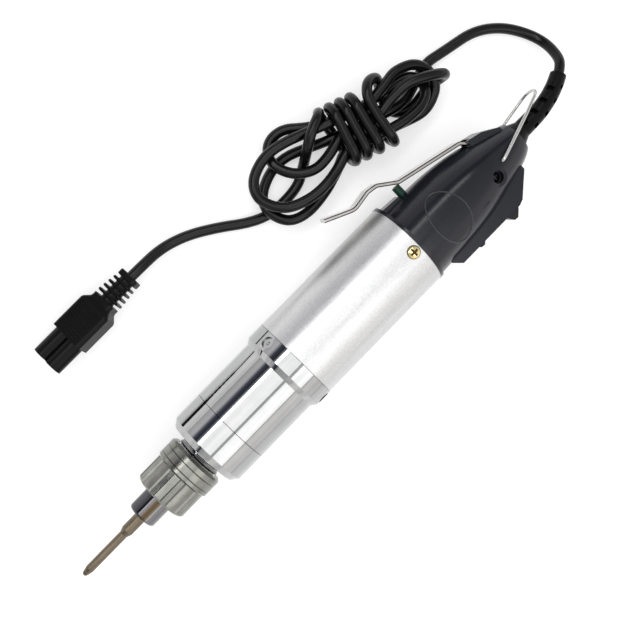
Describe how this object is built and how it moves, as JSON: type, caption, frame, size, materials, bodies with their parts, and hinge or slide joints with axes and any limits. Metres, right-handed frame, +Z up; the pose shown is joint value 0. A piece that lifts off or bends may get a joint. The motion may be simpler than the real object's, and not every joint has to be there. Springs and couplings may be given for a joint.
{
  "type": "electric screwdriver",
  "caption": "Pencil-grip electric screwdriver with a torque nut, start lever, reversing rocker, hanging bail, bit and a tied cord with a plug.",
  "frame": {"origin": "on the spindle axis at the middle of the handle tube", "axes": "+X along the spindle to the bit, +Z up from the table, +Y towards the switch pod, start lever on -Y"},
  "size_m": [0.2884, 0.1012, 0.0393],
  "materials": {
    "gear_case_front": "polished bright",
    "gear_case_rear": "polished bright",
    "gear_case_cover": "machined",
    "collar_ring": "polished bright",
    "collar_set_screws": "machined",
    "ring_gear": "machined",
    "front_bush": "plain",
    "push_washer": "machined",
    "clutch_pins": "machined",
    "clutch_plate": "machined",
    "clutch_balls": "machined",
    "torque_spring": "machined",
    "body_tube": "satin anodised",
    "motor_can": "machined",
    "motor_magnets": "plain",
    "motor_end_plate": "satin moulded",
    "carbon_brushes": "plain",
    "motor_front_bearing": "machined",
    "motor_rear_bearing": "machined",
    "body_screws": "yellow zinc plated",
    "cap_upper_half": "satin moulded",
    "cap_lower_half": "satin moulded",
    "cap_screw": "machined",
    "switch_block": "satin moulded",
    "lever_pin": "machined",
    "microswitch": "satin moulded",
    "strain_relief": "satin moulded",
    "cord_lead": "smooth jacket",
    "cord_hank": "smooth jacket",
    "cord_wrap": "smooth jacket",
    "cord_tail": "smooth jacket",
    "plug_body": "satin moulded",
    "plug_relief": "satin moulded",
    "plug_contacts": "plain",
    "motor_shaft": "machined",
    "armature": "machined",
    "motor_windings": "plain",
    "commutator": "plain",
    "motor_fan": "satin moulded",
    "first_carrier": "machined",
    "planet_pins_1": "machined",
    "spindle": "machined",
    "planet_pins_2": "machined",
    "lock_balls": "machined",
    "chuck_spring": "machined",
    "chuck_retainer": "machined",
    "driver_bit": "machined",
    "chuck_sleeve": "bright plated",
    "spring_seat": "machined",
    "torque_nut": "bright plated",
    "start_lever": "bright plated",
    "push_pin": "dark green moulded",
    "rocker": "satin moulded",
    "hanging_bail": "bright plated",
    "planet_gear_1_1": "machined",
    "planet_gear_1_2": "machined",
    "planet_gear_1_3": "machined",
    "planet_gear_2_1": "machined",
    "planet_gear_2_2": "machined",
    "planet_gear_2_3": "machined"
  },
  "bodies": {
    "housing": {"gear_case_front": "gear_case_front", "gear_case_rear": "gear_case_rear", "gear_case_cover": "gear_case_cover", "collar_ring": "collar_ring", "collar_set_screws": "collar_set_screws", "ring_gear": "ring_gear", "front_bush": "front_bush", "push_washer": "push_washer", "clutch_pins": "clutch_pins", "clutch_plate": "clutch_plate", "clutch_balls": "clutch_balls", "torque_spring": "torque_spring", "body_tube": "body_tube", "motor_can": "motor_can", "motor_magnets": "motor_magnets", "motor_end_plate": "motor_end_plate", "carbon_brushes": "carbon_brushes", "motor_front_bearing": "motor_front_bearing", "motor_rear_bearing": "motor_rear_bearing", "body_screws": "body_screws", "cap_upper_half": "cap_upper_half", "cap_lower_half": "cap_lower_half", "cap_screw": "cap_screw", "switch_block": "switch_block", "lever_pin": "lever_pin", "microswitch": "microswitch", "strain_relief": "strain_relief", "cord_lead": "cord_lead", "cord_hank": "cord_hank", "cord_wrap": "cord_wrap", "cord_tail": "cord_tail", "plug_body": "plug_body", "plug_relief": "plug_relief", "plug_contacts": "plug_contacts"},
    "rotor": {"motor_shaft": "motor_shaft", "armature": "armature", "motor_windings": "motor_windings", "commutator": "commutator", "motor_fan": "motor_fan"},
    "first_carrier": {"first_carrier": "first_carrier", "planet_pins_1": "planet_pins_1"},
    "spindle": {"spindle": "spindle", "planet_pins_2": "planet_pins_2", "lock_balls": "lock_balls", "chuck_spring": "chuck_spring", "chuck_retainer": "chuck_retainer", "driver_bit": "driver_bit"},
    "chuck_sleeve": {"chuck_sleeve": "chuck_sleeve"},
    "spring_seat": {"spring_seat": "spring_seat"},
    "torque_nut": {"torque_nut": "torque_nut"},
    "start_lever": {"start_lever": "start_lever"},
    "push_pin": {"push_pin": "push_pin"},
    "rocker": {"rocker": "rocker"},
    "hanging_bail": {"hanging_bail": "hanging_bail"},
    "planet_gear_1_1": {"planet_gear_1_1": "planet_gear_1_1"},
    "planet_gear_1_2": {"planet_gear_1_2": "planet_gear_1_2"},
    "planet_gear_1_3": {"planet_gear_1_3": "planet_gear_1_3"},
    "planet_gear_2_1": {"planet_gear_2_1": "planet_gear_2_1"},
    "planet_gear_2_2": {"planet_gear_2_2": "planet_gear_2_2"},
    "planet_gear_2_3": {"planet_gear_2_3": "planet_gear_2_3"}
  },
  "joints": [
    {"name": "rotor_spin", "type": "hinge", "parent": "housing", "child": "rotor", "pos_m": [0, 0, 0], "axis": [1, 0, 0], "continuous": true},
    {"name": "first_carrier_spin", "type": "hinge", "parent": "housing", "child": "first_carrier", "pos_m": [0, 0, 0], "axis": [1, 0, 0], "continuous": true},
    {"name": "spindle_spin", "type": "hinge", "parent": "housing", "child": "spindle", "pos_m": [0, 0, 0], "axis": [1, 0, 0], "continuous": true},
    {"name": "planet_1_1_spin", "type": "hinge", "parent": "first_carrier", "child": "planet_gear_1_1", "pos_m": [0, 0.0081, 0], "axis": [1, 0, 0], "continuous": true},
    {"name": "planet_1_2_spin", "type": "hinge", "parent": "first_carrier", "child": "planet_gear_1_2", "pos_m": [0, -0.00405, 0.00701], "axis": [1, 0, 0], "continuous": true},
    {"name": "planet_1_3_spin", "type": "hinge", "parent": "first_carrier", "child": "planet_gear_1_3", "pos_m": [0, -0.00405, -0.00701], "axis": [1, 0, 0], "continuous": true},
    {"name": "planet_2_1_spin", "type": "hinge", "parent": "spindle", "child": "planet_gear_2_1", "pos_m": [0, 0.0081, 0], "axis": [1, 0, 0], "continuous": true},
    {"name": "planet_2_2_spin", "type": "hinge", "parent": "spindle", "child": "planet_gear_2_2", "pos_m": [0, -0.00405, 0.00701], "axis": [1, 0, 0], "continuous": true},
    {"name": "planet_2_3_spin", "type": "hinge", "parent": "spindle", "child": "planet_gear_2_3", "pos_m": [0, -0.00405, -0.00701], "axis": [1, 0, 0], "continuous": true},
    {"name": "sleeve_travel", "type": "slide", "parent": "spindle", "child": "chuck_sleeve", "axis": [1, 0, 0], "range_m": [0, 0.003], "stiffness_N_per_m": 800, "deforming": ["chuck_spring"]},
    {"name": "seat_travel", "type": "slide", "parent": "housing", "child": "spring_seat", "axis": [1, 0, 0], "range_m": [-0.0015, 0.0015], "deforming": ["torque_spring"]},
    {"name": "torque_nut_turn", "type": "hinge", "parent": "spring_seat", "child": "torque_nut", "pos_m": [0, 0, 0], "axis": [1, 0, 0], "range_deg": [-360, 360]},
    {"name": "lever_press", "type": "hinge", "parent": "housing", "child": "start_lever", "pos_m": [-0.07955, -0.0093, 0], "axis": [0, 0, 1], "range_deg": [0, 5], "stiffness_Nm_per_rad": 1.2, "springref_deg": -5.73},
    {"name": "push_pin_travel", "type": "slide", "parent": "housing", "child": "push_pin", "axis": [0, 1, 0], "range_m": [0, 0.0032]},
    {"name": "rocker_tip", "type": "hinge", "parent": "housing", "child": "rocker", "pos_m": [-0.06315, 0.0174, 0], "axis": [0, 0, 1], "range_deg": [0, 13]},
    {"name": "bail_swing", "type": "hinge", "parent": "housing", "child": "hanging_bail", "pos_m": [-0.08005, 0.001, 0], "axis": [0, 0, 1], "range_deg": [-2, 70]}
  ],
  "couplings": [
    {"joint": "first_carrier_spin", "follows": "rotor_spin", "ratio": 0.22222},
    {"joint": "spindle_spin", "follows": "rotor_spin", "ratio": 0.049383},
    {"joint": "planet_1_1_spin", "follows": "rotor_spin", "ratio": -0.62222},
    {"joint": "planet_1_2_spin", "follows": "rotor_spin", "ratio": -0.62222},
    {"joint": "planet_1_3_spin", "follows": "rotor_spin", "ratio": -0.62222},
    {"joint": "planet_2_1_spin", "follows": "rotor_spin", "ratio": -0.13827},
    {"joint": "planet_2_2_spin", "follows": "rotor_spin", "ratio": -0.13827},
    {"joint": "planet_2_3_spin", "follows": "rotor_spin", "ratio": -0.13827},
    {"joint": "torque_nut_turn", "follows": "seat_travel", "rad_per_m": 4188.8},
    {"joint": "push_pin_travel", "follows": "lever_press", "m_per_rad": 0.0348}
  ]
}
